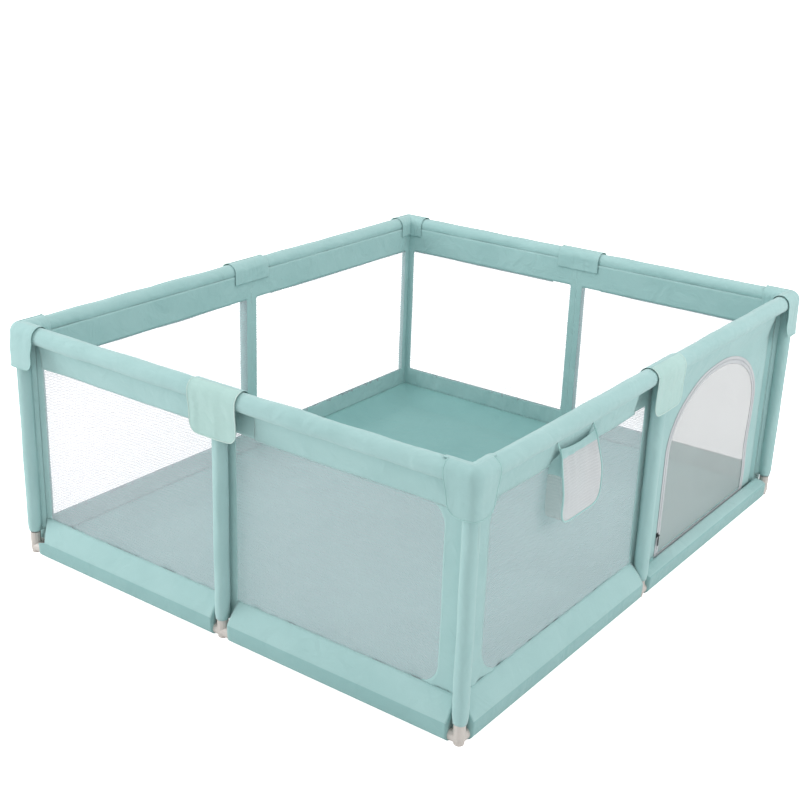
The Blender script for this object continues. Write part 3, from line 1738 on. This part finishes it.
@dataclass
class Pocket:
    """Net storage bag that hangs inside two tabs from the band of the door's wall."""

    binding_radius: float = 2.6 * MM
    corner: float = 0.036
    mouth: float = 0.024
    taper: float = 10 * MM
    sag: float = 9 * MM
    tab: float = 22 * MM
    tab_ends: Point2 = (9 * MM, 1.5 * MM)
    tab_thickness: float = 1.2 * MM
    mouth_corner: float = 0.8
    front_hem: float = 0.87
    gusset_hem: float = 0.66
    gusset_share: float = 0.6
    edge_radius: float = 2.4 * MM
    rim_radius: float = 1.0 * MM
    cells: tuple[int, int] = (48, 40)

    @property
    def height(self) -> float:
        """Height of the front between its bindings."""
        low, high = self.box
        return high.z - low.z - 2 * self.binding_radius

    @property
    def box(self) -> tuple[Vector, Vector]:
        """Box of the CAD pocket."""
        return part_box("pocket")

    def half_width(self, drop: float) -> float:
        """Half the width of the front, narrower at the mouth and rounded at the bottom.

        Args:
            drop: Distance below the mouth.

        Returns:
            Half the width there.
        """
        low, high = self.box
        drawn_in = self.taper * (1 - ease(drop / self.height / 0.55))
        half = (high.y - low.y) / 2 - self.binding_radius - drawn_in
        over = drop - (self.height - self.corner)
        if over > 0:
            half += math.sqrt(max(self.corner**2 - over**2, 0)) - self.corner
        return half

    def front(self, u: float, v: float) -> Vector:
        """Point of the front.

        Args:
            u: Share of the way across.
            v: Share of the way up from the bottom.

        Returns:
            The point.
        """
        low, high = self.box
        drop = self.height * (1 - v)
        share = 2 * u - 1
        along = (low.y + high.y) / 2 + share * self.half_width(drop)
        depth = high.x - low.x - 2 * self.binding_radius
        swing = blend(self.mouth, depth, math.sin(math.pi / 2 * min(drop / self.height / 0.85, 1)))
        hollow = 5 * MM * (share * share - 0.4) * ease(v / 0.5)
        folds = 1.6 * MM * ripple(along * 45, drop * 5, 91.0) * ease(v / 0.2)
        slack = 1.5 * MM * ripple(along * 12, drop * 14, 92.0)
        out = low.x + swing + (hollow + folds + slack) * ease(min(v, 1 - v) / 0.08)
        out = min(max(out, low.x + 1 * MM), high.x)
        sag = self.sag * (1 - share * share) * ease((v - 0.75) / 0.25)
        return Vector((out, along, high.z - self.binding_radius - drop - sag))

    def gusset(self, sign: float, u: float, v: float) -> Vector:
        """Point of a side gusset, which is pinched to nothing at the mouth's corner.

        Args:
            sign: 1 for the right gusset, -1 for the left one.
            u: Share of the way from the wall to the front.
            v: Share of the way up.

        Returns:
            The point.
        """
        low, _ = self.box
        edge = self.front(1.0 if sign > 0 else 0.0, v)
        over_band = OuterBand.rise(edge.z + 4 * MM)
        out = low.x + 1.5 * MM + over_band + 2 * MM * ease(over_band / MM)
        pinch = ease((v - self.mouth_corner) / (1 - self.mouth_corner))
        wall = Vector((blend(out, edge.x - 1 * MM, pinch), edge.y + sign * 2 * MM, edge.z))
        point = wall.lerp(edge, u)
        point.y -= sign * 5 * MM * math.sin(math.pi * u) * (0.4 + 0.6 * v) * (1 - pinch)
        return point

    def tab_piece(self, name: str, sign: float) -> None:
        """Makes a tab that is sewn to the band and holds a top corner of the pocket.

        Args:
            name: Name of the tab.
            sign: 1 for the right tab, -1 for the left one.
        """
        corner = self.front(1.0 if sign > 0 else 0.0, 1.0)

        def surface(u: float, v: float) -> Vector:
            """Point of the tab.

            Args:
                u: Share of the way across it.
                v: Share of the way up.

            Returns:
                The point.
            """
            along = corner.y + sign * 1 * MM + (u - 0.5) * blend(*self.tab_ends, v)
            z = corner.z - 3 * MM + self.tab * v
            on_band = OuterBand.foot[0] + 3.7 * MM + OuterBand.rise(z)
            out = blend(corner.x + 0.5 * MM, LAYOUT.half_x + on_band, ease(v))
            return Vector((out, along, z))

        flat = (10 * MM, self.tab)
        mesh = cloth_mesh(name, (4, 12), surface, flat)
        tab = add_piece(name, mesh, FINISH.binding, thickness=self.tab_thickness)

    def edge(self) -> list[Vector]:
        """Points down one side of the front, along its bottom and up the other.

        Returns:
            The points.
        """
        down, across = 60, 24
        left = [self.front(0.0, 1 - i / down) for i in range(down + 1)]
        bottom = [self.front(i / across, 0.0) for i in range(1, across)]
        return left + bottom + [self.front(1.0, i / down) for i in range(down + 1)]

    def hem(self, mesh: bpy.types.Mesh, height: float) -> None:
        """Gives the top of a net the cover's cloth.

        Args:
            mesh: The net.
            height: Height on the flat net at which the cloth starts.
        """
        mesh.materials.append(FINISH.oxford.material())
        layer = mesh.uv_layers.active.data
        for polygon in mesh.polygons:
            flat = sum(layer[index].uv.y for index in polygon.loop_indices) / polygon.loop_total
            polygon.material_index = int(flat > height)

    def build(self) -> None:
        """Makes the front, the gussets, the tabs and the bindings."""
        low, high = self.box
        size = (high.y - low.y, high.z - low.z)
        mesh = cloth_mesh("pocket_front", self.cells, self.front, size)
        front = add_piece(mesh.name, mesh, FINISH.pocket, "pocket", replaces=("pocket",))
        self.hem(mesh, self.front_hem * size[1])
        depth = high.x - low.x
        for sign, name in ((-1.0, "left"), (1.0, "right")):
            mesh = cloth_mesh(
                f"pocket_gusset_{name}",
                (10, 40),
                lambda u, v, sign=sign: self.gusset(sign, u if sign > 0 else 1 - u, v),
                (depth, size[1]),
            )
            gusset = add_piece(mesh.name, mesh, FINISH.gusset, "pocket")
            self.hem(mesh, self.gusset_hem * size[1])
        for sign, name in ((-1.0, "pocket_tab_left"), (1.0, "pocket_tab_right")):
            self.tab_piece(name, sign)
        rim = [self.front(i / 40, 1.0) for i in range(41)]
        for name, points, radius in (
            ("pocket_binding", self.edge(), self.edge_radius),
            ("pocket_rim", rim, self.rim_radius),
        ):
            add_piece(name, cord_mesh(name, points, radius), FINISH.binding, "pocket")


# Frame pieces that stay.


@dataclass(frozen=True)
class FrameFinishes:
    """Finishes of the CAD nodes that stay as they are."""

    def dress(self) -> None:
        """Gives each node that stays its finish."""
        for name, node in frame["nodes"].items():
            finish = self.finish_of(name)
            if finish:
                node.data.materials.clear()
                node.data.materials.append(finish.material())

    def finish_of(self, name: str) -> Finish | None:
        """Chooses a node's finish.

        Args:
            name: Name of the node.

        Returns:
            The finish of a node that stays, or None where a new piece stands for it.
        """
        if name.startswith("post_") or "_rail_" in name:
            return FINISH.steel
        if "_connector_" in name:
            return FINISH.plastic
        if name.startswith("zip_"):
            return FINISH.zinc
        return None


# Studio.


@dataclass(frozen=True)
class Softbox:
    """A square area light that looks at a point."""

    name: str
    place: tuple[float, float, float]
    target: tuple[float, float, float]
    size: float
    power: float

    def build(self) -> None:
        """Makes the light."""
        light = bpy.data.lights.new(self.name, "AREA")
        light.shape = "SQUARE"
        light.size = self.size
        light.energy = self.power
        obj = bpy.data.objects.new(self.name, light)
        obj.location = self.place
        aim = Vector(self.target) - Vector(self.place)
        obj.rotation_mode = "QUATERNION"
        obj.rotation_quaternion = aim.to_track_quat("-Z", "Y")
        bpy.context.scene.collection.objects.link(obj)


@dataclass(frozen=True)
class Studio:
    """Pale floor, soft light and the camera."""

    camera_place: tuple[float, float, float] = (2.04638, -2.97572, 1.76006)
    azimuth: float = 35.839
    elevation: float = 20.850
    roll: float = 2.017
    field: float = 33.6586
    floor_colour: str = "#F4F4F4"
    floor_lift: float = 0.92
    sky: float = 0.62
    white: float = 1.5
    lights: tuple[Softbox, ...] = (
        Softbox("left_softbox", (-3.6, -3.0, 2.2), (0, -0.3, 0.3), 2.6, 108),
        Softbox("front_softbox", (1.4, -4.6, 1.8), (0.2, -0.5, 0.3), 2.0, 12),
        Softbox("right_softbox", (4.2, 1.2, 2.2), (0.3, 0.2, 0.3), 2.2, 60),
        Softbox("top_softbox", (0.2, 0.0, 4.2), (0, 0, 0), 3.5, 60),
    )

    def build(self) -> None:
        """Makes the floor, the world, the lights and the camera."""
        self.add_floor()
        self.add_world()
        for light in self.lights:
            light.build()
        self.add_camera()

    def add_floor(self) -> None:
        """A wide matt floor just under the playpen."""
        bm = bmesh.new()
        bmesh.ops.create_grid(bm, x_segments=2, y_segments=2, size=30)
        mesh = bpy.data.meshes.new("floor")
        bm.to_mesh(mesh)
        bm.free()
        floor = bpy.data.objects.new("floor", mesh)
        bpy.context.scene.collection.objects.link(floor)
        material = bpy.data.materials.new("matt_white_floor")
        material.use_nodes = True
        tree = material.node_tree
        shader = tree.nodes["Principled BSDF"]
        path = add_node(tree, "ShaderNodeLightPath").outputs["Is Camera Ray"]
        lift = add_node(tree, "ShaderNodeMath", {"operation": "MULTIPLY"}, {0: path, 1: self.floor_lift})
        tree.links.new(lift.outputs[0], shader.inputs["Emission Strength"])
        shader.inputs["Emission Color"].default_value = (1, 1, 1, 1)
        shader.inputs["Base Color"].default_value = linear(self.floor_colour)
        shader.inputs["Roughness"].default_value = 0.9
        shader.inputs["Specular IOR Level"].default_value = 0.1
        mesh.materials.append(material)

    def add_world(self) -> None:
        """An even pale surround, which the camera sees as white."""
        world = bpy.data.worlds.new("studio")
        bpy.context.scene.world = world
        world.use_nodes = True
        tree = world.node_tree
        tree.nodes.clear()
        path = add_node(tree, "ShaderNodeLightPath").outputs["Is Camera Ray"]
        light = add_node(tree, "ShaderNodeBackground", None, {"Color": (1, 1, 1, 1), "Strength": self.sky})
        seen = add_node(tree, "ShaderNodeBackground", None, {"Color": (1, 1, 1, 1), "Strength": self.white})
        mixed = add_node(
            tree, "ShaderNodeMixShader", None, {0: path, 1: light.outputs[0], 2: seen.outputs[0]}
        )
        add_node(tree, "ShaderNodeOutputWorld", None, {"Surface": mixed.outputs[0]})

    def add_camera(self) -> None:
        """The camera, looking down at the near corner."""
        azimuth, elevation = math.radians(self.azimuth), math.radians(self.elevation)
        back = Vector(
            (
                math.sin(azimuth) * math.cos(elevation),
                -math.cos(azimuth) * math.cos(elevation),
                math.sin(elevation),
            )
        )
        camera = bpy.data.cameras.new("camera")
        camera.angle = math.radians(self.field)
        camera.clip_start = 0.05
        camera.clip_end = 200
        obj = bpy.data.objects.new("camera", camera)
        obj.location = self.camera_place
        obj.rotation_mode = "QUATERNION"
        level = (-back).to_track_quat("-Z", "Y")
        obj.rotation_quaternion = level @ Quaternion((0, 0, 1), math.radians(self.roll))
        bpy.context.scene.collection.objects.link(obj)
        bpy.context.scene.camera = obj
        bpy.context.scene.view_settings.view_transform = "Standard"


# The corner nearest the door has wider fabric beside its post.
WIDE_CORNERS = {
    "front_2": {"corner_strip": 0.082, "corner_radius": 0.055},
    "right_1": {"corner_strip": 0.115, "corner_radius": 0.075},
}
# The base sleeves stop short of the front's posts.
SLEEVE_GAPS = {
    "front_1": {"corner_gap": 0.030, "corner_cut": 0.032},
    "front_2": {"middle_gap": 0.034},
    "right_2": {"corner_gap": 0.036},
}
# Each corner's flap hangs as its own walls let it; the front ones are shorter.
CORNER_FLAPS = {
    Side.FRONT: Flap(Side.FRONT, True, narrow=0.80, flare=15 * MM, foot=LAYOUT.flap_foot + 14 * MM),
    Side.RIGHT: Flap(Side.RIGHT, True, stand_off=4 * MM),
    Side.BACK: Flap(Side.BACK, True, stand_off=2 * MM),
    Side.LEFT: Flap(Side.LEFT, True, stand_off=6 * MM, foot=LAYOUT.flap_foot + 14 * MM),
}


def build_cover() -> None:
    """Builds the cover, wall by wall and then the pieces on it."""
    for bay in BAYS:
        TopRoll(bay).build()
        BaseSleeve(bay, **SLEEVE_GAPS.get(bay.name, {})).build()
        if bay.has_door:
            DoorBay(bay).build()
        else:
            OuterBand(bay).build()
            window = WallFrame(bay, **WIDE_CORNERS.get(bay.name, {}))
            window.build()
            WallNet(window).build()
    for side in Side:
        for at_corner in (False, True):
            PostSleeve(side, at_corner).build()
            flap = CORNER_FLAPS[side] if at_corner else Flap(side, False)
            flap.build()
        CornerWeb(side).build()
    FloorMat().build()
    Pocket().build()


def main() -> None:
    """Builds the looks in order."""
    logging.basicConfig(level=logging.INFO, format="%(name)s %(message)s")
    FrameFinishes().dress()
    build_cover()
    Studio().build()


if __name__ == "__main__":
    main()
